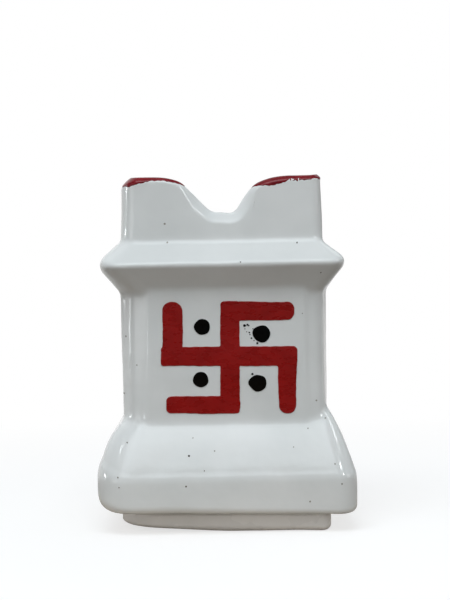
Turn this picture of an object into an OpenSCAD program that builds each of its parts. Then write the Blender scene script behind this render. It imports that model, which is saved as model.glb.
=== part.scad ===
// Glazed ceramic planter of square plan, in two pieces that lift apart.
// The pot is one slip casting: from the bottom up it has a wide base block with a sloped
// shoulder, an upright waist with a raised panel on each side, a projecting ledge and a
// parapet whose four corner horns stand between notches. It stands by a foot ring on the
// floor of a shallow drip tray. The origin is the middle of the tray's underside.

/* [Base block] */
// Width of the base block across its flat sides, the widest part of the pot
base_w = 180; // [160:1:210]
// Corner radius of the base block, seen from above
base_corner = 22; // [14:1:28]
// Rounding of the bottom edge of the base block
base_round = 11; // [5:1:13]
// Height of the base block's upright side, from the pot's underside
base_side = 25; // [20:1:40]
// Height of the sloped shoulder from the upright side up to the waist
base_slope = 38; // [25:0.5:50]
// How far the sloped shoulder swells out beyond a straight slope
shoulder_swell = 1.6; // [0:0.2:2.4]

/* [Waist] */
// Width of the waist across its flat sides
waist_w = 140; // [130:1:156]
// Corner radius of the waist
waist_corner = 16; // [12:1:22]
// Height of the waist between the two slopes
waist_h = 88.5; // [60:0.5:130]
// How far the panel on each side stands proud of the waist
panel_proud = 2; // [1:0.2:3.4]
// Width of the sloped edge at the left and right of a panel
panel_edge = 3; // [1.5:0.5:3.5]

/* [Ledge] */
// Width of the ledge across its nose
ledge_w = 172; // [162:1:190]
// Corner radius of the ledge at its nose
ledge_corner = 15; // [11:1:20]
// Height of the slope under the ledge's nose
ledge_under = 20; // [14:0.5:28]
// Height of the slope above the ledge's nose
ledge_top = 15.5; // [12:0.5:24]
// Softness of the nose, along each slope
nose_round = 5; // [3:0.5:8]

/* [Parapet] */
// Width of the parapet across its flat sides
parapet_w = 140; // [128:1:152]
// Corner radius of the parapet
parapet_corner = 13; // [11:1:18]
// Height of the parapet from the ledge to the tips of the horns
parapet_h = 45; // [42:1:60]
// Depth of a notch from the horn tips down to its floor
notch_depth = 24.5; // [20:0.5:27]
// Width of a notch's floor
notch_floor_w = 18; // [12:1:26]
// Slope of a notch's flanks, in degrees from level
flank_angle = 51; // [46:1:60]
// Softness of the two corners of a notch's floor
notch_soft = 3.5; // [2:0.5:5]
// Depth below the tips at which a flank starts to bend over into the horn's top
shoulder_drop = 10; // [6:0.5:12]
// Flat length of a horn's top, beside its rounded corner
horn_top = 11.5; // [8:0.5:14]
// Rounding of the rim's outer edge
rim_round = 7; // [3:0.5:8]

/* [Wall and floor] */
// Thickness of the cast wall
wall = 9; // [6:0.5:10]
// Thickness of the pot's floor
floor_t = 9; // [6:0.5:14]
// Rounding inside, between the floor and the wall
floor_round = 8; // [3:0.5:10]
// Softness of the pot's horizontal breaks, along each face
edge_soft = 3; // [2:0.5:5]
// Diameter of the drain hole
drain_d = 14; // [8:1:24]

/* [Foot ring] */
// Width of the foot ring across its flat sides
foot_w = 112; // [90:1:116]
// Corner radius of the foot ring
foot_corner = 18; // [14:1:24]
// Thickness of the foot ring
foot_wall = 9; // [6:0.5:12]

/* [Drip tray] */
// Width of the tray across its flat sides
tray_w = 143; // [134:1:148]
// Corner radius of the tray
tray_corner = 20; // [16:1:26]
// Height of the tray
tray_h = 13; // [10:0.5:18]
// Thickness of the tray's wall
tray_wall = 5; // [3:0.5:6]
// Thickness of the tray's floor
tray_floor = 4.5; // [3:0.5:6]
// Rounding of the tray's bottom edge
tray_round = 4; // [1:0.5:4.5]
// Clearance between the tray's rim and the pot's underside
tray_gap = 0.8; // [0.3:0.1:3]
// Turn of the tray under the pot, in degrees clockwise from above
tray_turn = 2; // [0:1:8]

/* [Hidden] */

// Heights above the surface that the tray stands on.
z_base = tray_h + tray_gap;
z_side = z_base + base_side;
z_waist = z_side + base_slope;
z_under = z_waist + waist_h;
z_nose = z_under + ledge_under;
z_parapet = z_nose + ledge_top;
z_tip = z_parapet + parapet_h;
z_floor = z_base + floor_t;

// The drain hole is cut past both faces of the floor.
cut = 1;
// Segments of a plan corner and of the softened edges.
corner_steps = 5;
round_steps = 4;
soft_steps = 2;
shoulder_steps = 6;
swell_steps = 3;
$fn = 64;

// Half the straight run of a side: a corner's arc starts here.
waist_run = waist_w / 2 - waist_corner;
parapet_run = parapet_w / 2 - parapet_corner;

// The rim's outer rounding leaves a fifth of the wall for the inner one.
rim_out = min(rim_round, 0.8 * wall);
rim_in = wall - rim_out;

function span(a, b) = norm([b[0] - a[0], b[1] - a[1]]);

// A curve from p to q that leaves and arrives along the lines to b.
function curve(p, b, q, steps) =
    [for (i = [0:steps]) let(f = i / steps) p * pow(1 - f, 2) + b * 2 * f * (1 - f) + q * f * f];

// A soft corner at b on the way from a to c: it leaves each leg at distance s from b.
function soft(a, b, c, s, steps) =
    curve(b + (a - b) * s / span(a, b), b, b + (c - b) * s / span(b, c), steps);

// The direction square to v, to its left.
function left_of(v) = [-v[1], v[0]] / norm([v[0], v[1]]);

// The point at distance d to the left of the corner at b on the way from a to c.
function inset(a, b, c, d) =
    let(m = left_of(b - a), n = left_of(c - b), v = d * (m + n) / (1 + m * n))
    [b[0] + v[0], b[1] + v[1], b[2] - d];

// The breaks of the outside, as half width, height and corner radius, where the waist
// stands out by lift. A lifted waist meets the two slopes a little nearer to their ends.
function breaks(lift) =
    let(half = waist_w / 2,
        fall = base_slope / (base_w / 2 - half),
        climb = ledge_under / (ledge_w / 2 - half))
    [
        [foot_w / 2, z_base, foot_corner],
        [base_w / 2, z_base, base_corner],
        [base_w / 2, z_side, base_corner],
        [half + lift, z_waist - lift * fall, waist_corner],
        [half + lift, z_under + lift * climb, waist_corner],
        [ledge_w / 2, z_nose, ledge_corner],
        [parapet_w / 2, z_parapet, parapet_corner],
        [parapet_w / 2, z_tip, parapet_corner]
    ];

// The foot ring, from the hollow inside it down and out to the pot's underside.
function foot() =
    [for (p = [[foot_wall, z_base], [foot_wall, tray_floor], [0, tray_floor], [0, z_base]])
        [foot_w / 2 - p[0], p[1], foot_corner - p[0]]];

// The points of the sloped shoulder between the breaks a and b, swelling out half way.
function swell(a, b) =
    let(v = b - a, n = left_of(v))
    [for (i = [1:swell_steps])
        let(f = i / (swell_steps + 1), d = shoulder_swell * 4 * f * (1 - f))
        a + v * f - d * [n[0], n[1], 0]];

// The outside of the pot from its underside up to the parapet.
function outside(b) = concat(
    soft(b[0], b[1], b[2], base_round, round_steps),
    soft(b[1], b[2], b[3], edge_soft, soft_steps),
    swell(b[2], b[3]),
    soft(b[2], b[3], b[4], edge_soft, soft_steps),
    soft(b[3], b[4], b[5], edge_soft, soft_steps),
    soft(b[4], b[5], b[6], nose_round, soft_steps + 1),
    soft(b[5], b[6], b[7], edge_soft, soft_steps));

// The inside follows the outside at the wall's thickness, down to the floor.
function inside(b) =
    let(c = [for (i = [2:6]) inset(b[i - 1], b[i], b[i + 1], wall)],
        corner = [base_w / 2 - wall, z_floor, base_corner - wall],
        middle = [0, z_floor, base_corner - wall],
        bend = min(floor_round, (c[0][1] - z_floor) / 2),
        top = [parapet_w / 2 - wall, z_tip, parapet_corner - wall])
    concat(
        soft(top, c[4], c[3], edge_soft, 1),
        soft(c[4], c[3], c[2], edge_soft, 1),
        soft(c[3], c[2], c[1], edge_soft, 1),
        soft(c[2], c[1], c[0], edge_soft, 1),
        soft(c[1], c[0], corner, edge_soft, 1),
        soft(c[0], corner, middle, bend, soft_steps));

// Half of one side's rim line, from the middle of the notch to the start of the corner,
// as distance along the side and height. The two corners are where the flank's straight
// line meets the level of the notch's floor and that of the horn's tip.
notch_middle = [0, z_tip - notch_depth];
notch_corner = [notch_floor_w / 2, notch_middle[1]];
flank_up = [cos(flank_angle), sin(flank_angle)] / sin(flank_angle);
horn_corner = notch_corner + notch_depth * flank_up;
crest = [parapet_run - horn_top, z_tip];
rim_half = concat(
    [notch_middle],
    soft(notch_middle, notch_corner, horn_corner, notch_soft, soft_steps),
    curve(horn_corner - shoulder_drop * flank_up, horn_corner, crest, shoulder_steps),
    [[parapet_run * (1 - panel_edge / waist_run), z_tip], [parapet_run, z_tip]]);
rim_last = len(rim_half) - 1;

// The direction square to the rim line at its point i, out of the wall's edge.
function rim_normal(i) =
    i == 0 || i == rim_last ? [0, 1] : left_of(rim_half[i + 1] - rim_half[i - 1]);

// The upright lines of one side and the corner after it. Each is its place along the
// straight run as a share of it, its angle round the corner, the rim's height there, the
// direction out of the rim and how far the panel lifts the waist.
function lifted(i) = i < rim_last ? panel_proud : 0;
side_lines = concat(
    [for (i = [rim_last:-1:1]) let(n = rim_normal(i))
        [-rim_half[i][0] / parapet_run, 0, rim_half[i][1], [-n[0], n[1]], lifted(i)]],
    [for (i = [0:rim_last]) let(n = rim_normal(i))
        [rim_half[i][0] / parapet_run, 0, rim_half[i][1], n, lifted(i)]],
    [for (i = [1:corner_steps - 1]) [1, 90 * i / corner_steps, z_tip, [0, 1], 0]]);

// The rim over one upright line: the outer rounding, then the inner one. A fourth value
// moves a point along the side, so that the rounding stays square to a sloped flank.
function over_rim(line) =
    let(n = line[3],
        outer = [for (i = [0:round_steps]) let(a = 90 * i / round_steps)
            [rim_out * (1 - cos(a)), rim_out * (1 - sin(a))]],
        inner = [for (i = [1:soft_steps]) let(a = 90 * i / soft_steps)
            [rim_out + rim_in * sin(a), rim_in * (1 - cos(a))]])
    [for (p = concat(outer, inner))
        [parapet_w / 2 - p[0], line[2] - n[1] * p[1], parapet_corner - p[0], -n[0] * p[1]]];

// The whole section of the casting at one upright line, from the underside over the rim
// and down to the floor.
function section(line) =
    let(b = breaks(line[4]))
    concat(foot(), outside(b), over_rim(line), inside(b));

// A point of a section, put at its place round the square plan.
function place(side, line, p) =
    let(run = p[0] - p[2],
        along = line[0] * run + p[2] * sin(line[1]) + (len(p) > 3 ? p[3] : 0),
        out = run + p[2] * cos(line[1]),
        turn = 90 * side)
    [along * cos(turn) + out * sin(turn), along * sin(turn) - out * cos(turn), p[1]];

// A closed skin through the same section points all round the square. Both ends close
// with triangles to a point on the middle line, where the drain hole is cut later.
module casting() {
    sections = [for (line = side_lines) section(line)];
    rows = len(sections[0]);
    n = 4 * len(side_lines);
    points = [for (row = [0:rows - 1], side = [0:3], k = [0:len(side_lines) - 1])
        place(side, side_lines[k], sections[k][row])];
    bands = [for (row = [0:rows - 2], k = [0:n - 1])
        let(a = row * n + k, b = row * n + (k + 1) % n)
        each [[a, a + n, b + n], [a, b + n, b]]];
    middles = [[0, 0, z_base], [0, 0, z_floor]];
    last = (rows - 1) * n;
    underside = [for (k = [0:n - 1]) [rows * n, k, (k + 1) % n]];
    floor_face = [for (k = [0:n - 1]) [rows * n + 1, last + (k + 1) % n, last + k]];
    polyhedron(concat(points, middles), concat(underside, bands, floor_face), convexity = 8);
}

// Carries a flat outline round a rounded square. The outline's x is the distance out from
// the corner centres, which lie at run to each side of the middle.
module carried_round(run) {
    for (turn = [0:90:270]) rotate([0, 0, turn]) {
        translate([run, run, 0]) rotate_extrude(angle = 90) children();
        translate([run, run, 0]) rotate([90, 0, 0]) linear_extrude(2 * run) children();
    }
}

module pot() color([0.87, 0.88, 0.88]) {
    difference() {
        casting();
        translate([0, 0, z_base - cut]) cylinder(d = drain_d, h = floor_t + 2 * cut);
    }
}

// The tray's wall and the outer part of its floor, as one outline.
module tray_outline() {
    difference() {
        union() {
            square([tray_corner, tray_h - tray_wall / 2]);
            translate([tray_corner - tray_wall / 2, tray_h - tray_wall / 2])
                circle(d = tray_wall);
        }
        translate([-cut, tray_floor])
            square([tray_corner - tray_wall + cut, tray_h]);
        translate([tray_corner - tray_round, tray_round]) difference() {
            translate([0, -tray_round - cut]) square(tray_round + cut);
            circle(tray_round);
        }
    }
}

module drip_tray() color([0.62, 0.6, 0.57]) rotate([0, 0, -tray_turn]) {
    run = tray_w / 2 - tray_corner;
    carried_round(run) tray_outline();
    translate([-run, -run, 0]) cube([2 * run, 2 * run, tray_floor]);
}

drip_tray();
pot();
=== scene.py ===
import math

import bpy
import numpy as np
from mathutils import Matrix, Vector
from mathutils.bvhtree import BVHTree


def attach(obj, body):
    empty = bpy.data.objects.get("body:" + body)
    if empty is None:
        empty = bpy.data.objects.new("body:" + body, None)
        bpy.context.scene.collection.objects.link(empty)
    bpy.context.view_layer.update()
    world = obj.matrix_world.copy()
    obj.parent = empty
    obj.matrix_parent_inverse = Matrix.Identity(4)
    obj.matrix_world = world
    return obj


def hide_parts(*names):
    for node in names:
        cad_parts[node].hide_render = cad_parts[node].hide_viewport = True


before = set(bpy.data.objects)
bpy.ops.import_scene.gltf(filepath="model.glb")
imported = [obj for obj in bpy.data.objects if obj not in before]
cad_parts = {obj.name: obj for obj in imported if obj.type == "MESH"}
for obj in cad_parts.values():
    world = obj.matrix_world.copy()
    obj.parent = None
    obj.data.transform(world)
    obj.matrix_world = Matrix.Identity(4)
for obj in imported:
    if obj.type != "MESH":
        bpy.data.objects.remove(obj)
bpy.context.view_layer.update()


# Drip tray: a shallow dish of cast earthenware, pressed and trimmed by hand, so that its
# corners aren't alike. It is glazed all over and stands loose under the pot, turned a little.
MM = 0.001                                # in the scene's metres
tray_half = 73.5
tray_turn = -1.5                          # degrees about the upright axis
tray_forward = 3.0
tray_floor = 4.5
tray_wall = 5.0
tray_corner_radii = (7, 15, 24, 32)       # front right, back right, back left, front left
tray_edge_round, tray_lip_round, tray_basin_round = 4.5, 2.5, 3.0
tray_lip_base = 9.9
tray_skew = 4.0                           # the front edge comes forward on the right
tray_warp = 3.0                           # the bottom edge curves up on the left
tray_stretch, tray_corner_stretch = 1.03, 0.045   # of its heights, and more at the front left
tray_unevenness = 0.5
corner_points, side_points = 13, 24


def colour(code):
    """The linear colour of an sRGB hex value."""
    out = []
    for i in (1, 3, 5):
        c = int(code[i:i + 2], 16) / 255
        out.append(c / 12.92 if c <= 0.04045 else ((c + 0.055) / 1.055) ** 2.4)
    return (*out, 1.0)


def add(tree, kind, settings=None, links=None, stops=()):
    """A new node with its settings, by attribute or socket, its links and a ramp's stops."""
    node = tree.nodes.new(kind)
    for name, value in (settings or {}).items():
        if isinstance(name, str) and hasattr(node, name):
            setattr(node, name, value)
        else:
            node.inputs[name].default_value = value
    for name, output in (links or {}).items():
        tree.links.new(output, node.inputs[name])
    for i, (position, tone) in enumerate(stops):
        node.color_ramp.elements[i].position = position
        node.color_ramp.elements[i].color = colour(tone)
    return node


def hand_wave(points, seed, long_mm, short_mm):
    """A smooth unevenness between 0 and 1 at each point, of two ranges of wavelength."""
    rng = np.random.default_rng(seed)
    total, weight = np.zeros(len(points)), 0.0
    for count, (low, high), size in ((9, long_mm, 1.0), (9, short_mm, 0.3)):
        for _ in range(count):
            way = rng.normal(size=3)
            way *= 2 * math.pi / (rng.uniform(low, high) * np.linalg.norm(way))
            total += size * np.sin(points @ way + rng.uniform(0, 2 * math.pi))
            weight += size * size / 2
    return np.clip(0.5 + 0.22 * total / math.sqrt(weight), 0, 1)


def grid_faces(rows, columns):
    """The quads of a grid whose columns close into a ring."""
    r, c = np.meshgrid(np.arange(rows - 1), np.arange(columns), indexing="ij")
    n = (c + 1) % columns
    quads = np.stack([r * columns + c, (r + 1) * columns + c, (r + 1) * columns + n,
                      r * columns + n], axis=-1)
    return quads.reshape(-1, 4).tolist()


def grid_normals(grid):
    """The outward normals of a grid of points whose columns close into a ring."""
    down = np.gradient(grid, axis=0)
    along = (np.roll(grid, -1, axis=1) - np.roll(grid, 1, axis=1)) / 2
    n = np.cross(along, down)
    return n / np.maximum(np.linalg.norm(n, axis=-1, keepdims=True), 1e-9)


def piece(name, points_mm, faces, material, body):
    """A smooth mesh piece that rides on a body."""
    mesh = bpy.data.meshes.new(name)
    mesh.from_pydata((np.asarray(points_mm) * MM).tolist(), [], faces)
    mesh.shade_smooth()
    mesh.validate()
    made = bpy.data.objects.new(name, mesh)
    bpy.context.scene.collection.objects.link(made)
    mesh.materials.append(material)
    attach(made, body)
    return made


def turned(degrees, size=2):
    """The matrix that turns rows of x and y, or of x, y and z, about the upright axis."""
    a = math.radians(degrees)
    matrix = np.eye(size)
    matrix[:2, :2] = [[math.cos(a), math.sin(a)], [-math.sin(a), math.cos(a)]]
    return matrix


def tray_outline(inset):
    """The tray's outline from above, moved in by inset, as one ring of points."""
    a = np.radians(np.linspace(0, 90, corner_points))
    arcs = []
    for i, radius in enumerate(tray_corner_radii):
        r = max(radius - inset, 1.0)
        middle = tray_half - inset - r
        arc = np.stack([middle + r * np.sin(a), -middle - r * np.cos(a)], axis=1)
        arcs.append(arc @ turned(90 * i))
    ring = []
    for i, arc in enumerate(arcs):
        way = arcs[(i + 1) % 4][0] - arc[-1]
        ring += [arc, arc[-1] + way * np.linspace(0, 1, side_points + 2)[1:-1, None]]
    flat = np.concatenate(ring)
    front = np.clip(0.5 - flat[:, 1] / (2 * tray_half), 0, 1)
    flat[:, 1] -= tray_skew * front * flat[:, 0] / tray_half
    return flat @ turned(tray_turn) - (0, tray_forward)


# Each row is its inset and height: out along the underside, up over the lip, and in again
# along the basin's floor.
tray_rows = [(tray_half - 2, 0.0), (40, 0.0), (20, 0.0), (9, 0.0), (6, 0.1)]
for a in np.radians(range(10, 91, 10)):
    tray_rows.append((tray_edge_round * (1 - math.sin(a)),
                      tray_edge_round - (tray_edge_round - 0.1) * math.cos(a)))
tray_rows += [(0.0, 6.5), (0.0, 8.0)]
for a in np.radians(range(0, 181, 15)):
    tray_rows.append((tray_lip_round * (1 - math.cos(a)),
                      tray_lip_base + tray_lip_round * math.sin(a)))
tray_rows += [(tray_wall, 9.0)]
for a in np.radians(range(0, 91, 15)):
    tray_rows.append((tray_wall + tray_basin_round * (1 - math.cos(a)),
                      tray_floor + tray_basin_round * (1 - math.sin(a))))
tray_rows += [(inset, tray_floor) for inset in (13, 20, 40, tray_half - 2)]
tray_columns = 4 * (corner_points + side_points)
tray_grid = np.stack([np.column_stack([tray_outline(inset), np.full(tray_columns, height)])
                      for inset, height in tray_rows])
tray_flat = tray_grid.reshape(-1, 3)
tray_inset = np.repeat([inset for inset, _ in tray_rows], tray_columns)
tray_flat[:, 2] += (tray_warp * np.clip(-tray_flat[:, 0] / tray_half, 0, 1)
                    * np.clip((16 - tray_inset) / 10, 0, 1) * np.clip(1 - tray_flat[:, 2] / 9, 0, 1))
# The lip stands a little higher towards the front left corner.
tray_flat[:, 2] *= (tray_stretch + tray_corner_stretch * np.clip(-tray_flat[:, 0] / 45, 0, 1)
                    * np.clip(-(tray_flat[:, 1] + 40) / 30, 0, 1))
tray_push = hand_wave(tray_flat, 11, (34, 60), (13, 20)) * (tray_flat[:, 2] > 0.05)
tray_normals = grid_normals(tray_grid).reshape(-1, 3)
tray_flat = tray_flat - tray_normals * (tray_unevenness * tray_push)[:, None]
tray_faces = grid_faces(len(tray_rows), tray_columns)
tray_faces.append(list(range(tray_columns)))
tray_faces.append(list(range(len(tray_flat) - 1, len(tray_flat) - tray_columns - 1, -1)))


def glaze(name):
    """A new glaze: its material, node tree, shader and the place on the piece."""
    made = bpy.data.materials.new(name)
    made.use_nodes = True
    tree = made.node_tree
    skin = tree.nodes["Principled BSDF"]
    skin.inputs["IOR"].default_value = glaze_ior
    return made, tree, skin, add(tree, "ShaderNodeTexCoord").outputs["Object"]


def dress(tree, skin, tone, roughness, normal):
    """Gives a shader its colour, roughness and normal."""
    for socket, output in (("Base Color", tone), ("Roughness", roughness), ("Normal", normal)):
        tree.links.new(output, skin.inputs[socket])


# Opaque warm white glaze on earthenware: glossy with a soft, slightly pitted skin, in patches about 28
# mm across and with a grain of 3 mm. It is warmer and greyer than the pot's glaze, and part of that
# tint is painted warm shade, for the tray stands under the pot's overhang in light off the warm floor.
glaze_ior = 1.5                           # as common glazes have
# The tray's tint is partly painted warm shade.
tray_glaze_painted_warm_shade, tree, skin, at = glaze("warm_white_glaze_painted_shade")
patches = add(tree, "ShaderNodeTexNoise", {"Scale": 1 / (28 * MM), "Detail": 3.0}, {"Vector": at})
tint = add(tree, "ShaderNodeValToRGB", links={"Fac": patches.outputs["Fac"]},
           stops=((0.3, "#E0DEDB"), (0.7, "#E9E7E4")))
gloss = add(tree, "ShaderNodeMapRange", {"To Min": 0.2, "To Max": 0.34},
            {"Value": patches.outputs["Fac"]})
grain = add(tree, "ShaderNodeTexNoise", {"Scale": 1 / (3 * MM), "Detail": 2.0}, {"Vector": at})
relief = add(tree, "ShaderNodeBump", {"Strength": 0.6, "Distance": 0.08 * MM},
             {"Height": grain.outputs["Fac"]})
dress(tree, skin, tint.outputs["Color"], gloss.outputs["Result"], relief.outputs["Normal"])

tray = piece("drip_tray_glazed", tray_flat, tray_faces, tray_glaze_painted_warm_shade, "tray")
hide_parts("drip_tray")


# Pot: one hollow slip casting of earthenware, with foot ring, base block, waist with a raised
# panel on each side, ledge and notched parapet. Its edges were sponged soft by hand before it
# was fired and glazed, so no face is quite flat and no edge quite straight.
pot_bottom = 13.8
base_half, base_corner = 90.0, 22.0
base_top, slope_top = 38.8, 76.8
waist_half, waist_corner = 69.8, 16.0
panel_proud = 2.1
panel_left, panel_right = 57.5, 60.5      # from a side's middle to the panel's edges
panel_left_soft, panel_right_soft = 10.0, 7.5
ledge_under, ledge_nose, ledge_top = 164.6, 184.8, 200.8
ledge_half, ledge_corner = 86.2, 15.0
parapet_half, parapet_corner = 70.2, 13.0
wall, floor_top = 9.0, 22.8
foot_half, foot_corner, foot_wall, foot_bottom = 56.0, 18.0, 9.0, 4.5
horn_tip = 245.5
drain_radius = 7.0
edge_bow, edge_drop = 6.2, 2.0            # of the block's lower edge, on the left and the right
rim_softness = 1.7
bevel_wide_below, bevel_tight_above = 226.5, 241.5
bevel_shrink = 0.56                       # the share of its width that it loses on the horns
rim_columns, rim_fineness, blur_points = 48, 5, 18
corner_columns = 8
least_corner = 0.8                        # no ring turns a corner more sharply
pot_unevenness = 0.85


def bend(p, b, q, steps):
    """A curve from p to q that leaves and arrives along the lines to b."""
    ways = np.linspace(0, 1, steps + 1)
    return [p * (1 - f) ** 2 + b * 2 * f * (1 - f) + q * f * f for f in ways]


def left_of(ways):
    """The unit normals on the left of ways in a plane."""
    across = np.column_stack([-ways[:, 1], ways[:, 0]])
    return across / np.linalg.norm(across, axis=1, keepdims=True)


def rim_half_line(points):
    """One half of a side's rim, as distance from the middle and height, drawn smooth."""
    points = np.array(points)
    reach = np.concatenate([[0], np.cumsum(np.linalg.norm(np.diff(points, axis=0), axis=1))])
    even = np.linspace(0, reach[-1], rim_columns * rim_fineness + 1)
    near = np.arange(-blur_points, blur_points + 1) * even[1] / rim_softness
    near = np.exp(-0.5 * near ** 2)
    line = []
    for value in points.T:
        padded = np.pad(np.interp(even, reach, value), blur_points, "reflect", reflect_type="odd")
        line.append(np.convolve(padded, near / near.sum(), "valid"))
    return np.column_stack(line)[::rim_fineness]


# The corners aren't alike either: the front right one is the tightest. These are their shares
# of the named radii, at the front right, back right, back left and front left.
corner_shares = (0.62, 0.85, 1.0, 1.1)

# The rim of one side, from its left corner to its right one. The left flank of a notch is
# flatter than the right one. The notches were cut straight through the casting from front to
# back and from right to left, so the rim of the back and of the left side is the mirror image.
left_rim = rim_half_line((
    (0, 220.8), (3, 220.7), (5.8, 221.3), (7.9, 222.3), (9.9, 224.1), (14, 228.4), (18, 232.8),
    (22, 236.8), (25, 239.9), (27.5, 241.8), (30.5, 243), (34, 244), (38, 244.9), (43, 245.4),
    (49, 245.5), (55.8, 245.5)))
right_rim = rim_half_line((
    (0, 220.8), (3, 220.5), (6, 220), (8.2, 220.3), (10, 221.7), (12, 224.2), (15, 229.1),
    (17.5, 232.9), (20, 235.9), (23, 238.7), (26, 240.6), (30, 242), (35, 243.6), (40, 244.4),
    (46, 245), (62, 245)))
rim_line = np.concatenate([(left_rim * [-1, 1])[::-1], right_rim[1:]])
mirrored_rim = rim_line[::-1] * [-1, 1]
side_rims = (rim_line, rim_line, mirrored_rim, mirrored_rim)
rim_middle = rim_columns                  # the notch's middle among a side's columns
turns = np.radians(np.linspace(0, 90, corner_columns + 2))[1:-1]
share, angle, rim_z, rim_nx, rim_nz, side_turn, corner_share = [], [], [], [], [], [], []
for side, line in enumerate(side_rims):
    # The upright lines of this side, and then those round the corner at its right end.
    square = left_of(np.gradient(line, axis=0))
    square[[0, -1]] = (0, 1)
    left = np.arange(len(line)) < rim_middle
    share += [line[:, 0] / np.where(left, -line[0, 0], line[-1, 0]), np.ones(corner_columns)]
    angle += [np.zeros(len(line)), turns]
    next_height = side_rims[(side + 1) % 4][0, 1]
    rim_z += [line[:, 1], np.linspace(line[-1, 1], next_height, corner_columns + 2)[1:-1]]
    rim_nx += [square[:, 0], np.zeros(corner_columns)]
    rim_nz += [square[:, 1], np.ones(corner_columns)]
    side_turn += [np.full(len(line) + corner_columns, math.radians(90 * side))]
    corner_share += [np.where(left, corner_shares[side - 1], corner_shares[side]),
                     np.full(corner_columns, corner_shares[side])]
share, angle, rim_z, rim_nx, rim_nz, side_turn, corner_share = (
    np.concatenate(v) for v in (share, angle, rim_z, rim_nx, rim_nz, side_turn, corner_share))
columns = len(share)
per_side = columns // 4
base_corner, waist_corner, ledge_corner, parapet_corner = (
    radius * corner_share for radius in (base_corner, waist_corner, ledge_corner, parapet_corner))
# How far a column faces left, right or either: 1 on that side, 0 on the front and the back.
faces_left = np.clip(-np.sin(angle + side_turn), 0, 1) ** 2
faces_right = np.clip(np.sin(angle + side_turn), 0, 1) ** 2
sideways = faces_left + faces_right


def raised_panel(reach):
    """How far the waist is raised at a distance to the right of a side's middle. The panel's
    edge lies just inside the corner on the left and runs onto it on the right."""
    f = (np.clip((reach + panel_left) / panel_left_soft, 0, 1)
         * np.clip((panel_right - reach) / panel_right_soft, 0, 1))
    return panel_proud * f * f * (3 - 2 * f)


run = waist_half - waist_corner
lift = raised_panel(share * run + waist_corner * angle)
next_lift = raised_panel(-run - waist_corner * (math.pi / 2 - angle))
lift = np.where(angle > 0, np.maximum(lift, next_lift), lift)


def row(half, height, corner):
    """One ring of the casting as half width, height and corner radius at each column."""
    values = [np.broadcast_to(v, columns).astype(float) for v in (half, height, corner)]
    return np.stack(values, axis=1)


def soften(a, b, c, reach_mm, steps):
    """The rows of a soft break at b on the way from a to c."""
    reach = np.broadcast_to(reach_mm, columns)[:, None]
    before, after = (way / np.linalg.norm(way[:, :2], axis=1, keepdims=True) for way in (a - b, c - b))
    return bend(b + before * reach, b, b + after * reach, steps)


def bridge(above, steps, below, swell=0.0):
    """The rows between two rows, swelling out half way."""
    way = below - above
    out = np.zeros_like(way)
    out[:, 0], out[:, 1] = way[:, 1], -way[:, 0]
    out *= (swell / np.maximum(np.linalg.norm(out, axis=1), 1e-9))[:, None]
    return [above + way * f + out * 4 * f * (1 - f) for f in np.linspace(0, 1, steps + 1)[1:-1]]


def place(rows, shift=0.0):
    """Puts rows of half width, height and radius round the square plan."""
    corner = np.maximum(rows[..., 2], least_corner)
    run = rows[..., 0] - corner
    along = share * run + corner * np.sin(angle) + shift
    out = run + corner * np.cos(angle)
    x = along * np.cos(side_turn) + out * np.sin(side_turn)
    y = along * np.sin(side_turn) - out * np.cos(side_turn)
    return np.stack([x, y, rows[..., 1]], axis=-1)


def sides(left, right):
    """What is added on the left and on the right side, with nothing in front and behind."""
    return left * faces_left + right * faces_right


# The base block's edges lie higher on the sides, mostly the slope's upper end on the right. Its
# lower edge bows up left of the middle and drops towards the right.
parapet_reach = parapet_half - 0.1 - sides(0.0, 0.5)
side_z = base_top + sides(6.8, 1.5)
top_z = slope_top + sides(2.8, 8.6)
fall = (top_z - side_z) / (base_half - waist_half)
lean = place(row(base_half, pot_bottom, base_corner))[:, 0] / base_half
to_left, to_right = np.clip(-lean, 0, 1), np.clip(lean, 0, 1)
low_z = pot_bottom - 0.1 + edge_bow * to_left * (1 - 0.84 * to_left)
low_z -= edge_drop * to_right * (1 + 0.4 * to_right)
lip = row(base_half - 15, pot_bottom, base_corner - 6)
# The outside's breaks: the block's lower and upper edge, the waist's foot and top, the ledge's
# nose, and the parapet's foot and top.
profile = [
    row(base_half, low_z, base_corner),
    row(base_half, side_z, base_corner),
    row(waist_half + 0.9 + 0.45 * lift, top_z - 0.45 * lift * fall, waist_corner),
    row(waist_half - 0.1 + 1.05 * lift + sides(0.0, 0.6),
        ledge_under + lift * (1.6 - 1.3 * sideways), waist_corner),
    row(ledge_half + 1.3 * sideways, ledge_nose + 1.3 * sideways, ledge_corner),
    row(parapet_reach + 0.5, ledge_top + sides(1.0, -1.6), parapet_corner),
    row(parapet_reach, horn_tip, parapet_corner),
]
triples = list(zip(profile, profile[1:], profile[2:]))

# How each break is softened: its reach, the rows on the face below it, its own rows, and how
# far that face swells out.
softness = (
    (3.5 + sides(5.0, 0.0), 5, 6, 0.0), (2.6, 15, 4, 1.1 + 0.6 * sideways), (2.6, 34, 4, 0.0),
    (4.0 + 5.0 * sideways, 10, 9, 0.0), (2.6, 7, 4, 0.0))
outside = soften(lip, profile[0], profile[1], 5.5 + sides(8.0, 2.5), 10)
for (a, b, c), (reach_mm, between, steps, swell) in zip(triples, softness):
    corner_rows = soften(a, b, c, reach_mm, steps)
    outside += bridge(outside[-1], between, corner_rows[0], swell) + corner_rows

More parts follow.
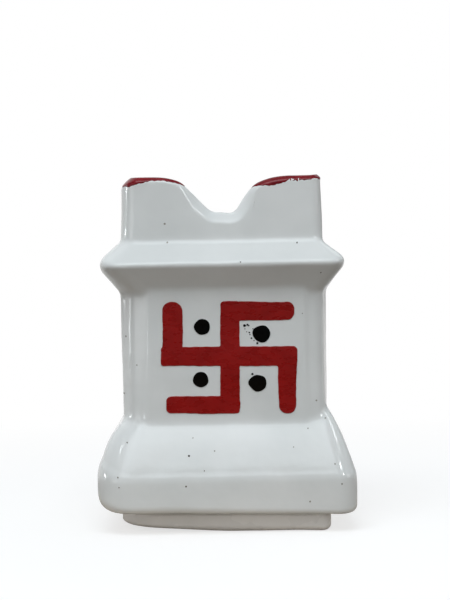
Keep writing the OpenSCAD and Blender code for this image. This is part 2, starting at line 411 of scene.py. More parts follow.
# The rim's outer edge is a soft bevel: a curve off the wall, a short flat slope and a curve
# onto the top, as distance in from the wall and down from the rim line. It is wide in the
# notches and shrinks up their flanks, to the horns. A round edge leads in to the hollow.
bevel = np.array(bend(np.array([0, 9.4]), np.array([0.0, 6.6]), np.array([2.0, 4.8]), 6)
                 + bend(np.array([3.9, 2.9]), np.array([6.4, 0.6]), np.array([8.0, 0.0]), 5))
up_flank = np.clip((rim_z - bevel_wide_below) / (bevel_tight_above - bevel_wide_below), 0, 1)
up_flank *= up_flank * (3 - 2 * up_flank)
tight = 1 - up_flank * (bevel_shrink + sides(-0.5, 0.08))
rim_reach = parapet_reach - sides(0.7, 0.0)
bevel_width = bevel[-1, 0] * tight
rim_steps = [(d * tight, h * tight) for d, h in bevel]
rim_steps += [(bevel_width + (wall - bevel_width) * math.sin(a), 1.8 * (1 - math.cos(a)))
              for a in np.radians(np.linspace(0, 90, 6))[1:]]
rim_rows = [row(rim_reach - d, rim_z - rim_nz * h, parapet_corner - d) for d, h in rim_steps]
rim_shift = [-rim_nx * h for _, h in rim_steps]

# The hollow keeps the wall's thickness, and then a flat floor leads in to the drain hole.
inner = []
for a, b, c in triples:
    below, above = left_of(b[:, :2] - a[:, :2]), left_of(c[:, :2] - b[:, :2])
    off = wall * (below + above) / (1 + np.sum(below * above, axis=1, keepdims=True))
    inner.append(np.column_stack([b[:, :2] + off, b[:, 2] - wall]))
mouth = row(parapet_reach - wall, horn_tip, parapet_corner - wall)
low = row(base_half - wall, floor_top, base_corner - wall)
middle = row(20.0, floor_top, base_corner - wall)
hollow = [mouth, *inner[::-1], low, middle]
inner_softness = ((4.0, 0, 3), (6.0, 3, 5), (5.0, 4, 4), (5.0, 12, 4), (4.0, 7, 3), (7.0, 2, 5))
inside = []
for a, b, c, (reach_mm, between, steps) in zip(hollow, hollow[1:], hollow[2:], inner_softness):
    corner_rows = soften(a, b, c, reach_mm, steps)
    inside += (bridge(inside[-1], between, corner_rows[0]) if inside else []) + corner_rows

# The foot ring's rows are inset and height, down its inside and up its outside to the block.
foot_steps = (
    (foot_wall, pot_bottom), (foot_wall, foot_bottom + 1.5), (foot_wall - 0.4, foot_bottom + 0.4),
    (foot_wall - 1.5, foot_bottom), (1.5, foot_bottom), (0.4, foot_bottom + 0.4),
    (0.0, foot_bottom + 1.5), (0.0, pot_bottom - 1.0), (-1.0, pot_bottom))
foot = [row(foot_half - inset, z, foot_corner - inset) for inset, z in foot_steps] + [lip]

lower = [place(r) for r in foot + outside]
upper = [place(r, s) for r, s in zip(rim_rows, rim_shift)]
lower += bridge(lower[-1], 16, upper[0])
inner_rows = [place(r) for r in inside]
upper_in = bridge(upper[-1], 14, inner_rows[0])
around = inner_rows[-1]
spoke = around[:, :2] / np.linalg.norm(around[:, :2], axis=1, keepdims=True)


def hole_ring(radius, height):
    """A round row about the drain hole."""
    return np.column_stack([spoke * radius, np.full(columns, height)])


hole_edge = ((drain_radius + 1.2, 0.0), (drain_radius + 0.3, 0.35), (drain_radius, 1.2))
plate_top = [hole_ring(radius, floor_top - d) for radius, d in hole_edge]
plate_low = [hole_ring(radius, pot_bottom + d) for radius, d in hole_edge[::-1]]
rings = lower + upper + upper_in + inner_rows
crest_row, floor_row = len(lower) + len(bevel) - 1, len(rings) - 4
rings += bridge(around, 9, plate_top[0]) + plate_top + plate_low
rings += bridge(plate_low[-1], 5, lower[0])
# The hand's unevenness fades out on the foot ring and on the floor.
handled = np.ones(len(rings))
handled[:len(foot)] = 0
handled[floor_row:] = 0
handled = np.convolve(np.pad(handled, 2, mode="edge"), np.ones(5) / 5, "valid")


def closed_normals(grid):
    """The normals of a grid that closes into a ring along its rows too."""
    return grid_normals(np.concatenate([grid[-1:], grid, grid[:1]]))[1:-1]


pot_grid = np.stack(rings)
pot_push = hand_wave(pot_grid.reshape(-1, 3), 5, (40, 78), (15, 24)).reshape(pot_grid.shape[:2])
pot_push *= pot_unevenness * handled[:, None]
pot_grid = pot_grid - closed_normals(pot_grid) * pot_push[..., None]
pot_normals = closed_normals(pot_grid)
pot_points = pot_grid.reshape(-1, 3)
pot_faces = grid_faces(len(rings), columns)
last = (len(rings) - 1) * columns
for k in range(columns):
    pot_faces.append([last + k, k, (k + 1) % columns, last + (k + 1) % columns])

# Opaque white glaze over pale earthenware, dipped and fired glossy. The eye sees a milky,
# faintly cool white in clouds about 45 mm across, with a soft orange-peel skin of 2.8 and
# 11 mm, and some pinholes.
white_glaze, tree, skin, at = glaze("white_glazed_earthenware")
clouds = add(tree, "ShaderNodeTexNoise", {"Scale": 1 / (45 * MM), "Detail": 3.0}, {"Vector": at})
tint = add(tree, "ShaderNodeValToRGB", links={"Fac": clouds.outputs["Fac"]},
           stops=((0.3, "#E2E4E3"), (0.7, "#EBECEB")))
# Pinholes: in one 16 mm cell of seven a 0.5 mm pit where a gas bubble broke the glaze. Each pit is
# painted grey, as painted shade in its hollow.
cells = add(tree, "ShaderNodeTexVoronoi", {"Scale": 1 / (16 * MM)}, {"Vector": at})
pit = add(tree, "ShaderNodeMapRange",
          {"From Min": 0.012, "From Max": 0.024, "To Min": 1.0, "To Max": 0.0},
          {"Value": cells.outputs["Distance"]})
draw = add(tree, "ShaderNodeSeparateColor", links={"Color": cells.outputs["Color"]})
chosen = add(tree, "ShaderNodeMath", {"operation": "GREATER_THAN", 1: 0.86},
             {0: draw.outputs["Red"]})
pinhole = add(tree, "ShaderNodeMath", {"operation": "MULTIPLY"},
              {0: pit.outputs["Result"], 1: chosen.outputs[0]})
# The grey in the pits is painted shade.
pits_painted_shade = add(tree, "ShaderNodeMix", {"data_type": "RGBA", 7: colour("#A9A6A0")},
             {0: pinhole.outputs[0], 6: tint.outputs["Color"]})
gloss = add(tree, "ShaderNodeMapRange", {"To Min": 0.08, "To Max": 0.17},
            {"Value": clouds.outputs["Fac"]})
broad = add(tree, "ShaderNodeTexNoise", {"Scale": 1 / (11 * MM), "Detail": 1.0}, {"Vector": at})
fine = add(tree, "ShaderNodeTexNoise", {"Scale": 1 / (2.8 * MM), "Detail": 1.0}, {"Vector": at})
swell = add(tree, "ShaderNodeBump", {"Strength": 0.9, "Distance": 0.22 * MM},
            {"Height": broad.outputs["Fac"]})
peel = add(tree, "ShaderNodeBump", {"Strength": 0.6, "Distance": 0.03 * MM},
           {"Height": fine.outputs["Fac"], "Normal": swell.outputs["Normal"]})
pores = add(tree, "ShaderNodeBump", {"Strength": 1.0, "Distance": 0.2 * MM, "invert": True},
            {"Height": pinhole.outputs[0], "Normal": peel.outputs["Normal"]})
dress(tree, skin, pits_painted_shade.outputs[2], gloss.outputs["Result"], pores.outputs["Normal"])

pot = piece("pot_casting", pot_points, pot_faces, white_glaze, "pot")
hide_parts("pot")
pot_skin = BVHTree.FromPolygons((pot_points * MM).tolist(), pot_faces)


# Red horn tips: the tops of the four horns carry a thick brushed coat of crimson enamel, fired
# over the glaze, that laps over the rim and runs out to points on the flanks of the notches.
horn_coat = 0.22
coat_step = 0.7
coat_rows = 25
coat_bead = 1.1                           # from a coat's edge in to its full height
coat_taper = 9.0                          # from a tip's end in to its full width
coat_inside, coat_least = 3.6, 0.15       # its reach on the inside, and at its very ends
rows_out, rows_in = 26, 20                # of the pot's rows, on each side of the crest
# The coat's drop below the rim on the outside, as pairs of distance along the rim from the
# corner and drop. Each corner has the edge before it and the one after it, going round to the
# left.
horn_edges = (
    ((0, 2.4, 6.4, 2.7, 10, 2.9, 11.9, 3.4, 14.8, 2.9, 19.4, 3, 21.1, 3.9, 24.6, 4.4, 27.6, 5.3,
      29.8, 5.4, 35.2, 4, 41, 2.3, 46, 0.5),
     (0, 2.6, 9, 4.2, 20, 3.6, 30, 4.6, 37, 2.4, 40, 0.4)),
    ((0, 4.2, 8, 3.6, 18, 5, 28, 3.8, 36, 2.8, 41, 0.4),
     (0, 4.2, 10, 5, 18, 3.4, 26, 3.4, 31, 1.8, 34, 0.4)),
    ((0, 3.8, 6, 4.8, 15, 3.6, 23, 4, 29, 2, 32, 0.4),
     (0, 4.2, 9, 3.6, 19, 5, 29, 3.6, 37, 2.6, 41, 0.4)),
    ((0, 5.6, 4, 6.2, 10, 4.2, 19, 5, 30, 3.6, 37, 2.2, 41, 0.4),
     (0, 5.6, 3, 5.6, 5.5, 4.7, 8, 4, 11.5, 3, 15, 2.5, 21, 2, 28, 1.9, 34, 1.6, 38, 1.1,
      41.5, 0.3)),
)
# Where flakes have come off the front right horn: along the rim, down the outside, and size.
flakes = ((-11.5, 3.9, 0.6), (-13.8, 4.6, 0.45), (-16.0, 3.9, 0.7), (-18.4, 4.3, 0.5))
# The wavelengths and heights of the brushed edge's raggedness.
ragged_waves = ((9, 0.22), (4.3, 0.2), (2.3, 0.1), (1.5, 0.05))


def coat(name, points, normals, faces, height, sunk, material, slot):
    """A closed film over a patch of the pot: raised by height, its back sunk below the glaze."""
    count = len(points)
    up = points + normals * np.asarray(height)[:, None]
    down = points - normals * sunk
    ways = dict.fromkeys(way for face in faces for way in zip(face, face[1:] + face[:1]))
    rim = [(a, b) for a, b in ways if (b, a) not in ways]
    both = [list(f) for f in faces] + [[v + count for v in reversed(f)] for f in faces]
    both += [[b, a, a + count, b + count] for a, b in rim]
    piece(name, np.concatenate([up, down]), both, material, "pot")


def enamel(name, dark, light, smooth, streak=(1.0, 1.0, 1.0)):
    """A fired enamel: glossy, with 4 mm brush marks and 14 mm pools of uneven depth."""
    made, tree, skin, at = glaze(name)
    drawn = add(tree, "ShaderNodeMapping", {"Scale": streak}, {"Vector": at})
    marks = add(tree, "ShaderNodeTexNoise", {"Scale": 1 / (4 * MM), "Detail": 3.0},
                {"Vector": drawn.outputs[0]}).outputs["Fac"]
    pools = add(tree, "ShaderNodeTexNoise", {"Scale": 1 / (14 * MM), "Detail": 2.0}, {"Vector": at})
    depth = add(tree, "ShaderNodeMix", {0: 0.55}, {2: marks, 3: pools.outputs["Fac"]})
    tint = add(tree, "ShaderNodeValToRGB", links={"Fac": depth.outputs[0]},
               stops=((0.36, dark), (0.66, light)))
    gloss = add(tree, "ShaderNodeMapRange", {"To Min": smooth, "To Max": smooth + 0.16},
                {"Value": marks})
    relief = add(tree, "ShaderNodeBump", {"Strength": 0.7, "Distance": 0.06 * MM},
                 {"Height": marks})
    dress(tree, skin, tint.outputs["Color"], gloss.outputs["Result"], relief.outputs["Normal"])
    return made


def path_lengths(points):
    """The distance to each point along a path, or along each path of a grid's columns."""
    steps = np.linalg.norm(np.diff(points, axis=0), axis=-1)
    return np.concatenate([np.zeros((1, *steps.shape[1:])), np.cumsum(steps, axis=0)])


# Crimson enamel: a cool deep red, brushed along the rim.
crimson = enamel("crimson_enamel_over_glaze", "#6E0A15", "#87121E", 0.16, (1.0, 1.0, 0.35))
rim_band = slice(crest_row - rows_out, crest_row + rows_in)
# The way from the crest over the bevel and down the wall, as drop and length.
wall_below = 19.5
bevel_drop = np.concatenate([bevel[::-1, 1], [30]])
bevel_arc = path_lengths(bevel[::-1])
bevel_arc = np.concatenate([bevel_arc, [bevel_arc[-1] + wall_below]])
for corner in range(4):
    # The rim's columns from the middle of one side round this corner to the middle of the next.
    first = corner * per_side + rim_middle
    picked = np.arange(first, first + per_side + 1) % columns
    patch, facing = pot_grid[rim_band][:, picked], pot_normals[rim_band][:, picked]
    path = path_lengths(patch[rows_out])
    path -= np.interp(rim_middle + (corner_columns + 1) / 2, np.arange(len(path)), path)
    across = path_lengths(patch)
    across = across[rows_out] - across
    before, after = (np.array(v, float).reshape(-1, 2) for v in horn_edges[corner])
    ends = (-before[-1, 0], after[-1, 0])
    along = np.arange(ends[0], ends[1] + 0.01, coat_step)
    rng = np.random.default_rng(31 + corner)
    ragged = sum(height * np.sin(along * 2 * math.pi / wave + rng.uniform(0, 6.3))
                 for wave, height in ragged_waves)
    drop = np.where(along < 0, np.interp(-along, *before.T), np.interp(along, *after.T))
    drop = drop + ragged * np.clip(drop / 3, 0, 1)
    # How far the coat reaches down outside and inside, both tapered to points at its ends.
    snug = np.interp(along, path, tight[picked])
    to_end = np.minimum(along - ends[0], ends[1] - along)
    taper = np.sqrt(np.clip(to_end / coat_taper, 0, 1))
    outer = snug * np.interp(drop / snug, bevel_drop, bevel_arc) * np.clip(taper * 1.15, 0, 1)
    outer += coat_least
    back = (coat_inside + 0.8 * ragged + 0.5 * np.sin(along / 5 + corner)) * taper + coat_least
    arcs = outer[None, :] + (-back - outer)[None, :] * np.linspace(0, 1, coat_rows)[:, None]
    film, lean = np.zeros((coat_rows, len(along), 3)), np.zeros((coat_rows, len(along), 3))
    for j, c in enumerate(np.interp(along, path, np.arange(len(path)))):
        k = min(int(c), len(path) - 2)
        for source, target in ((patch, film), (facing, lean)):
            two = [np.stack([np.interp(arcs[:, j], across[::-1, m], source[::-1, m, d])
                             for d in range(3)], axis=1) for m in (k, k + 1)]
            target[:, j] = two[0] + (two[1] - two[0]) * (c - k)
    lean /= np.linalg.norm(lean, axis=2, keepdims=True)
    inwards = np.minimum(np.minimum(outer[None, :] - arcs, arcs + back[None, :]), to_end[None, :])
    raised = horn_coat * (1 - (1 - np.clip(inwards / coat_bead, 0, 1)) ** 2) + 0.01
    for where, arc, size in (flakes if corner == 0 else ()):
        away = np.hypot(along[None, :] - where, (arcs - arc) * 0.8) + 0.3 * np.sin(along * 5)
        raised = np.where(away < size, -0.1, raised)
    n = len(along)
    cells = [[i * n + j, (i + 1) * n + j, (i + 1) * n + j + 1, i * n + j + 1]
             for i in range(coat_rows - 1) for j in range(n - 1)]
    coat(f"horn_enamel_{corner + 1}", film.reshape(-1, 3), lean.reshape(-1, 3), cells,
         raised.reshape(-1), 0.25, crimson, "red_enamel")


# Red painted sign: the front panel carries an upright swastika with a dot in each quarter, the
# Hindu sign of good fortune that holy basil planters traditionally bear. It is brushed freehand
# in thick dark red enamel, with strokes 11 to 14 mm wide, and fired over the glaze.
# Each stroke is its two ends, its half widths there and the roundings of its ends.
strokes = (
    ((4.9, 159.2), (3.5, 81.4), 6.6, 6.7, 2.6, 2.0),
    ((-43.3, 121.7), (50.3, 120.2), 6.5, 6.9, 1.8, 2.6),
    ((-1.8, 152.2), (49.0, 151.3), 6.8, 6.2, 2.6, 4.8),
    ((43.9, 126.9), (43.0, 80.6), 6.9, 5.7, 2.6, 5.4),
    ((10.6, 87.2), (-40.4, 88.2), 6.3, 5.9, 5.0, 3.4),
    ((-35.6, 115.2), (-34.6, 159.3), 6.9, 7.0, 1.8, 6.4),
)
sign_coat = 0.26
sign_step = 0.5
sign_nudge = 0.05
clear_of_pot = 120.0                      # from the planter's axis


def on_pot(flat, side=0):
    """Points and normals of the pot at places across and heights, seen square onto the side
    that lies so many degrees round from the front."""
    way = turned(side, 3)
    points, normals = [], []
    for x, z in flat:
        start = Vector(np.array([x, -clear_of_pot, z]) @ way) * MM
        hit, normal, _, _ = pot_skin.ray_cast(start, Vector(np.array([0.0, 1.0, 0.0]) @ way))
        points.append(np.array(hit) / MM)
        normals.append(np.array(normal))
    return np.array(points), np.array(normals)


def stroke_distance(x, z, stroke):
    """Distance from the edge of one brush stroke, negative inside it."""
    a, b, wide_a, wide_b, round_a, round_b = stroke
    a, b = np.array(a), np.array(b)
    length = np.linalg.norm(b - a)
    way = (b - a) / length
    along = (x - a[0]) * way[0] + (z - a[1]) * way[1]
    side = -(x - a[0]) * way[1] + (z - a[1]) * way[0]
    f = np.clip(along / length, 0, 1)
    half = wide_a + (wide_b - wide_a) * f
    r = np.where(f < 0.5, round_a, round_b)
    qx, qy = np.abs(along - length / 2) - (length / 2 - r), np.abs(side) - (half - r)
    corner = np.hypot(np.maximum(qx, 0), np.maximum(qy, 0))
    return corner + np.minimum(np.maximum(qx, qy), 0) - r


def sign_distance(x, z):
    """Distance from the edge of the whole sign, with the unsteadiness of a hand."""
    d = np.min([stroke_distance(x, z, s) for s in strokes], axis=0)
    d += 0.2 * np.sin(x * 0.2 + 1.1) * np.sin(z * 0.17) + 0.07 * np.sin(x * 0.8 + z * 0.6)
    return d + 0.03 * np.sin(z * 1.7 - x * 0.9 + 2)


# The film is a grid of squares over the sign, whose outer points are drawn onto its edge.
gx, gz = np.meshgrid(np.arange(-46, 54, sign_step), np.arange(78, 162.5, sign_step), indexing="ij")
for _ in range(2):
    d = sign_distance(gx, gz)
    sx = sign_distance(gx + sign_nudge, gz) - sign_distance(gx - sign_nudge, gz)
    sz = sign_distance(gx, gz + sign_nudge) - sign_distance(gx, gz - sign_nudge)
    sx, sz = sx / (2 * sign_nudge), sz / (2 * sign_nudge)
    near = np.abs(d) < 0.62 * sign_step
    size = np.maximum(sx * sx + sz * sz, 0.25)
    gx = np.where(near, gx - d * sx / size, gx)
    gz = np.where(near, gz - d * sz / size, gz)
d = sign_distance(gx, gz)
full = d < 0.04
four = full[:-1, :-1].astype(int) + full[1:, :-1] + full[:-1, 1:] + full[1:, 1:]
number = np.arange(full.size).reshape(full.shape)
cells = []
for i, j in zip(*np.nonzero(four >= 3)):
    cell = [(i, j), (i + 1, j), (i + 1, j + 1), (i, j + 1)]
    cells.append([int(number[c]) for c in cell if full[c]])
used = np.zeros(full.shape, bool)
used.flat[np.unique(np.concatenate(cells))] = True
number = np.cumsum(used).reshape(full.shape) - 1
cells = [[int(number.flat[v]) for v in cell] for cell in cells]
film, lean = on_pot(np.column_stack([gx[used], gz[used]]))
raised = sign_coat * (1 - (1 - np.clip(-d[used] / coat_bead, 0, 1)) ** 2) + 0.02
# Dark red enamel: warmer and denser than the crimson, brushed along the level strokes.
dark_red = enamel("dark_red_enamel_over_glaze", "#8E0402", "#9F0704", 0.2, (0.5, 1.0, 1.0))
coat("front_sign_enamel", film, lean, cells, raised, 0.3, dark_red, "red_enamel")


# Black dots: one thick drop of glossy black enamel stands in each quarter of the sign, set down
# with a fingertip or a full brush and fired. The upper right one spattered to its left.
# A drop is its place across and height, its radius, and the angle and length of its point.
dot_coat = 0.5
drops = (
    (-14.6, 141.6, 5.5, 0.0, 0.0), (26.4, 136.0, 5.9, 2.9, 0.10),
    (-16.3, 105.2, 5.35, 0.0, 0.0), (23.2, 102.0, 5.8, 3.0, 0.16),
)
spatter_coat = 0.12
spatter = (
    (14.6, 141.9, 1.0), (16.6, 142.4, 0.7), (17.6, 141.8, 0.5), (14.9, 139.6, 0.35),
    (17.9, 137.0, 0.55), (18.3, 135.6, 0.4), (19.3, 133.1, 0.6), (16.0, 137.6, 0.3),
    (21.0, 131.4, 0.35), (23.2, 129.6, 0.75), (20.4, 139.6, 0.4), (19.4, 108.4, 0.75),
)


def drop_patch(x, z, radius, toward, point, rings_count, spokes, seed):
    """The flat points, faces and shares of the radius of one drop, drawn out toward an angle."""
    rng = np.random.default_rng(seed)
    a = np.linspace(0, 2 * math.pi, spokes, endpoint=False)
    edge = 1 + 0.02 * np.sin(3 * a + rng.uniform(0, 6)) + 0.015 * np.sin(5 * a + rng.uniform(0, 6))
    edge += point * np.clip(np.cos(a - toward), 0, 1) ** 8
    flat, share_out = [(x, z)], [0.0]
    for i in range(1, rings_count + 1):
        f = math.sin(i / rings_count * math.pi / 2)
        flat += list(zip(x + radius * f * edge * np.cos(a), z + radius * f * edge * np.sin(a)))
        share_out += [f] * spokes
    faces = [[0, 1 + k, 1 + (k + 1) % spokes] for k in range(spokes)]
    for i in range(rings_count - 1):
        o = 1 + i * spokes
        faces += [[o + k, o + spokes + k, o + spokes + (k + 1) % spokes, o + (k + 1) % spokes]
                  for k in range(spokes)]
    return flat, faces, np.array(share_out)


# Thick black enamel: nearly mirror smooth, and it darkens all but the highlights.
black = enamel("black_enamel_over_glaze", "#010202", "#040505", 0.07)
for i, drop in enumerate(drops):
    flat, faces, out = drop_patch(*drop, 9, 44, 50 + i)
    raised = dot_coat * np.sqrt(np.clip(1 - out ** 2.6, 0, 1)) + 0.02
    coat(f"dot_enamel_{i + 1}", *on_pot(flat), faces, raised, 0.3, black, "black_enamel")


def small_drops(name, places, height, point, turn, spokes, seed, material):
    """Many small round marks as one piece, each at a side, place across, height and radius."""
    points, normals, faces, raised = [], [], [], []
    for i, (side, x, z, radius) in enumerate(places):
        flat, cells, out = drop_patch(x, z, radius, turn * i, point, 3, spokes, seed + i)
        film, lean = on_pot(flat, side)
        faces += [[v + len(raised) for v in f] for f in cells]
        points += list(film)
        normals += list(lean)
        raised += list(height * radius * np.sqrt(np.clip(1 - out ** 2, 0, 1)) + 0.015)
    coat(name, np.array(points), np.array(normals), faces, raised, 0.15, material, "black_enamel")


small_drops("dot_spatter", [(0, *mark) for mark in spatter], spatter_coat, 0.2, 0.5, 12, 70, black)


# Iron specks: grains of iron in the clay and bits of kiln dust have melted into the glaze as
# brown-black specks 0.6 to 1.4 mm across, some of them sunk under it and paler. The front's
# are where they were found, the others are strewn.
speck_coat = 0.06
front_specks = (
    (12.7, 185.9, 0.45), (67.5, 177.5, 0.4), (51.9, 198.2, 0.55), (-67.7, 63.2, 0.45),
    (-25.2, 53.9, 0.7), (-14.8, 44.0, 0.4), (-27.5, 33.9, 0.6),
)
sunk_specks = (
    (-38.9, 213.1, 0.7), (-37.3, 200.2, 0.6), (54.7, 149.4, 0.4), (-60.3, 115.9, 0.45),
    (63.3, 89.0, 0.6), (69.2, 76.7, 0.45), (-22.4, 65.6, 0.4), (-7.7, 56.8, 0.5),
    (-74.0, 40.6, 0.5), (-73.3, 33.9, 0.5), (56.9, 70.2, 0.45), (46.5, 58.3, 0.4),
    (74.4, 46.8, 0.5), (78.7, 33.5, 0.55), (56.8, 21.9, 0.6),
)
rng = np.random.default_rng(97)
for name, tones, front, strewn in (
        ("iron_specks", ("#3A342E", "#5C544B"), front_specks, 6),
        ("sunk_iron_specks", ("#8C8780", "#A29D96"), sunk_specks, 13)):
    speck = enamel(name.rstrip("s") + "_in_glaze", *tones, 0.2)
    places = [(0, *mark) for mark in front]
    places += [(side, rng.uniform(-62, 62), rng.uniform(24, 212), rng.uniform(0.3, 0.7))
               for side in (90, 180, 270) for _ in range(strewn)]
    small_drops(name, places, speck_coat, 0.25, 0.7, 10, 120, speck)


# Floor: a plain pale sheet. The camera sees it nearly white, with the planter's shadow on it.
# Its light on the planter comes from the warm paper close by, and further off it is dark.
floor_half = 6.0
floor_mesh = bpy.data.meshes.new("studio_floor")
floor_corners = [(-floor_half, -floor_half, 0), (floor_half, -floor_half, 0),
                 (floor_half, floor_half, 0), (-floor_half, floor_half, 0)]
floor_mesh.from_pydata(floor_corners, [], [[0, 1, 2, 3]])
floor = bpy.data.objects.new("studio_floor", floor_mesh)
bpy.context.scene.collection.objects.link(floor)

# Matt uncoated paper, with fibres in clouds about 17 mm across.
paper = bpy.data.materials.new("matt_white_paper")
paper.use_nodes = True
tree = paper.node_tree
skin = tree.nodes["Principled BSDF"]
skin.inputs["Roughness"].default_value = 0.95
skin.inputs["Specular IOR Level"].default_value = 0.0
at = add(tree, "ShaderNodeTexCoord").outputs["Object"]
fibre = add(tree, "ShaderNodeTexNoise", {"Scale": 1 / (16.7 * MM), "Detail": 4.0}, {"Vector": at})
sheet = add(tree, "ShaderNodeMix", {"data_type": "RGBA", 6: colour("#C2B4A5"), 7: colour("#CABDAF")},
            {0: fibre.outputs["Fac"]})
# The warm part is round a point 20 mm to the left.
moved = add(tree, "ShaderNodeVectorMath", {"operation": "SUBTRACT", 1: (-0.02, 0, 0)}, {0: at})
reach = add(tree, "ShaderNodeVectorMath", {"operation": "LENGTH"}, {0: moved.outputs["Vector"]})
far = add(tree, "ShaderNodeMapRange", {"From Min": 0.1, "From Max": 0.24},
          {"Value": reach.outputs["Value"]})
tone = add(tree, "ShaderNodeMix", {"data_type": "RGBA", 7: colour("#54493D")},
           {0: far.outputs["Result"], 6: sheet.outputs[2]})
tree.links.new(tone.outputs[2], skin.inputs["Base Color"])
# What the camera sees: white that a shadow darkens a little, fading to plain white further off.
white = add(tree, "ShaderNodeEmission", {"Color": colour("#FFFFFF"), "Strength": 0.68})
pale = add(tree, "ShaderNodeBsdfDiffuse", {"Color": colour("#AAAAAA")})
half_lit = add(tree, "ShaderNodeAddShader", links={0: white.outputs[0], 1: pale.outputs[0]})
backdrop = add(tree, "ShaderNodeEmission", {"Color": colour("#FFFFFF"), "Strength": 1.0})
away = add(tree, "ShaderNodeVectorMath", {"operation": "LENGTH"}, {0: at})
fade = add(tree, "ShaderNodeMapRange", {"From Min": 0.25, "From Max": 0.7},
           {"Value": away.outputs["Value"]})
clean = add(tree, "ShaderNodeMixShader",
            links={0: fade.outputs["Result"], 1: half_lit.outputs[0], 2: backdrop.outputs[0]})
# Reflections show the white floor behind the planter and the dark one in front of it.
seen = add(tree, "ShaderNodeLightPath").outputs
depth = add(tree, "ShaderNodeSeparateXYZ", links={0: at})
behind = add(tree, "ShaderNodeMapRange", {"From Min": 0.0, "From Max": 0.3},
             {"Value": depth.outputs["Y"]})
mirrored = add(tree, "ShaderNodeMath", {"operation": "MULTIPLY"},
               {0: seen["Is Glossy Ray"], 1: behind.outputs["Result"]})
direct = add(tree, "ShaderNodeMath", {"operation": "MAXIMUM"},
             {0: seen["Is Camera Ray"], 1: mirrored.outputs[0]})
either = add(tree, "ShaderNodeMath", {"operation": "MAXIMUM"},
             {0: direct.outputs[0], 1: seen["Is Transmission Ray"]})
shown = add(tree, "ShaderNodeMixShader",
            links={0: either.outputs[0], 1: skin.outputs[0], 2: clean.outputs[0]})
tree.links.new(shown.outputs[0], tree.nodes["Material Output"].inputs["Surface"])
floor_mesh.materials.append(paper)


# Light and camera: daylight in a plain room. The sky is pale at the horizon and dim above, a
# large soft box stands high in front, and weak ones fill from the back and both sides.
world = bpy.data.worlds.new("light_tent")
bpy.context.scene.world = world
world.use_nodes = True
tree = world.node_tree
around = add(tree, "ShaderNodeTexCoord").outputs["Generated"]
up = add(tree, "ShaderNodeSeparateXYZ", links={0: around}).outputs
dome = add(tree, "ShaderNodeMapRange", {"To Min": 1.0, "To Max": 0.1}, {"Value": up["Z"]})
sky = add(tree, "ShaderNodeMix", {"data_type": "RGBA", 6: colour("#F5F5F5"), 7: colour("#E7F2F7")},
          {0: up["Z"]})
soft = add(tree, "ShaderNodeBackground",
           links={"Color": sky.outputs[2], "Strength": dome.outputs["Result"]})
plain = add(tree, "ShaderNodeBackground", {"Color": colour("#FFFFFF"), "Strength": 1.0})
seen = add(tree, "ShaderNodeLightPath").outputs
mirrored = add(tree, "ShaderNodeMath", {"operation": "MAXIMUM"},
               {0: seen["Is Glossy Ray"], 1: seen["Is Transmission Ray"]})
# Behind the planter, most of all on the left, a reflection shows the white background. In
# front of it, it shows the dim room.
behind = add(tree, "ShaderNodeMapRange", {"From Min": 0.02, "From Max": 0.4}, {"Value": up["Y"]})
aside = add(tree, "ShaderNodeMapRange",
            {"From Min": 0.03, "From Max": 0.3, "To Min": 1.0, "To Max": 0.15}, {"Value": up["X"]})
behind = add(tree, "ShaderNodeMath", {"operation": "MULTIPLY"},
             {0: behind.outputs["Result"], 1: aside.outputs["Result"]})
dim = add(tree, "ShaderNodeBackground", {"Color": colour("#C8CCD0"), "Strength": 0.08})
surround = add(tree, "ShaderNodeMixShader",
               links={0: behind.outputs[0], 1: dim.outputs[0], 2: plain.outputs[0]})
glossy = add(tree, "ShaderNodeMixShader",
             links={0: mirrored.outputs[0], 1: soft.outputs[0], 2: surround.outputs[0]})
shown = add(tree, "ShaderNodeMixShader",
            links={0: seen["Is Camera Ray"], 1: glossy.outputs[0], 2: plain.outputs[0]})
tree.links.new(shown.outputs[0], tree.nodes["World Output"].inputs["Surface"])


def soft_box(name, place_m, aim_m, size_m, radiance, tint, lights=True, mirrored=True):
    """A rectangular lamp of a radiance that faces a point. It lights, is mirrored, or both."""
    lamp = bpy.data.lights.new(name, "AREA")
    lamp.shape = "RECTANGLE"
    lamp.size, lamp.size_y = size_m
    lamp.energy = radiance * size_m[0] * size_m[1] * math.pi
    lamp.color = colour(tint)[:3]
    held = bpy.data.objects.new(name, lamp)
    bpy.context.scene.collection.objects.link(held)
    held.location = place_m
    held.rotation_euler = (Vector(aim_m) - Vector(place_m)).to_track_quat("-Z", "Y").to_euler()
    held.visible_camera = False
    held.visible_diffuse, held.visible_glossy = lights, mirrored


soft_box("front_soft_box", (-0.2, -0.8, 1.55), (0, 0, 0.12), (1.2, 0.9), 4.2, "#F1FAFF",
         mirrored=False)
soft_box("back_soft_box", (0.5, 1.3, 1.5), (0, 0, 0.12), (1.3, 1.0), 0.9, "#F4FAFF")
soft_box("left_fill_light", (-1.15, -0.85, 0.2), (0, 0, 0.1), (0.5, 0.35), 1.7, "#FAFAFA")
soft_box("right_fill_light", (1.3, -0.55, 0.5), (0, 0, 0.15), (0.4, 0.4), 2.8, "#FAFAFA")
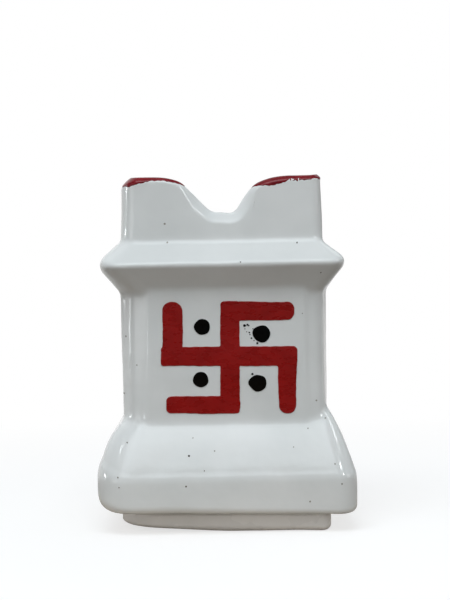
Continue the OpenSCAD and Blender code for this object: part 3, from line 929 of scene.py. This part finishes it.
# Only reflections show the next ones: an even sheen on the faces that look up, and small bright
# panes that draw the glints on the glazed edges and corners.
soft_box("front_sheen_light", (-0.2, -0.98, 1.51), (0, 0, 0.12), (1.3, 1.37), 2.1, "#F1FAFF",
         lights=False)
for name, place_m, aim_height, size_m, radiance in (
        ("left_strip_light", (-1.2, 0.08, 0.235), 0.2, (0.12, 0.09), 34.0),
        ("left_low_strip_light", (-1.2, 0.08, 0.115), 0.15, (0.14, 0.05), 10.0),
        ("right_window_light", (0.85, -0.48, 1.2), 0.2, (0.2, 0.3), 10.0),
        ("left_window_light", (-0.88, -0.5, 1.05), 0.2, (0.09, 0.14), 14.0),
        ("notch_glint_light", (0.82, -1.0, 0.84), 0.2, (0.2, 0.3), 18.0),
        ("left_spark_light", (-0.7, -1.0, 0.1), 0.1, (0.08, 0.04), 24.0)):
    soft_box(name, place_m, (0, 0, aim_height), size_m, radiance, "#F8FCFF", lights=False)

# The camera stands 1.3 m away, a little below the rim, looks slightly down and is tilted a
# little. Its sensor's long side, 36 mm, spans the picture's 600 pixels of height.
camera_distance, camera_height, camera_side = 1.3, 0.2027, 0.00129
camera_azimuth = math.radians(0.24)
camera_pitch = math.radians(2.0)
camera_roll = math.radians(-1.2)
focal_pixels, picture_pixels, sensor_mm = 1784.8, 600, 36.0
right = Vector((math.cos(camera_azimuth), math.sin(camera_azimuth), 0))
ahead = Vector((-math.sin(camera_azimuth) * math.cos(camera_pitch),
                math.cos(camera_azimuth) * math.cos(camera_pitch), -math.sin(camera_pitch)))
up = right.cross(ahead)
stand = Vector((math.sin(camera_azimuth), -math.cos(camera_azimuth), 0)) * camera_distance
stand += Vector((0, 0, camera_height)) + right * camera_side
right_now = right * math.cos(camera_roll) + up * math.sin(camera_roll)
up_now = up * math.cos(camera_roll) - right * math.sin(camera_roll)
lens = bpy.data.cameras.new("camera")
lens.sensor_fit, lens.sensor_width = "AUTO", sensor_mm
lens.lens = focal_pixels * sensor_mm / picture_pixels
lens.clip_start, lens.clip_end = 0.05, 30
camera = bpy.data.objects.new("camera", lens)
bpy.context.scene.collection.objects.link(camera)
camera.matrix_world = Matrix((
    (right_now.x, up_now.x, -ahead.x, stand.x), (right_now.y, up_now.y, -ahead.y, stand.y),
    (right_now.z, up_now.z, -ahead.z, stand.z), (0, 0, 0, 1)))
bpy.context.scene.camera = camera
bpy.context.scene.view_settings.view_transform = "Standard"
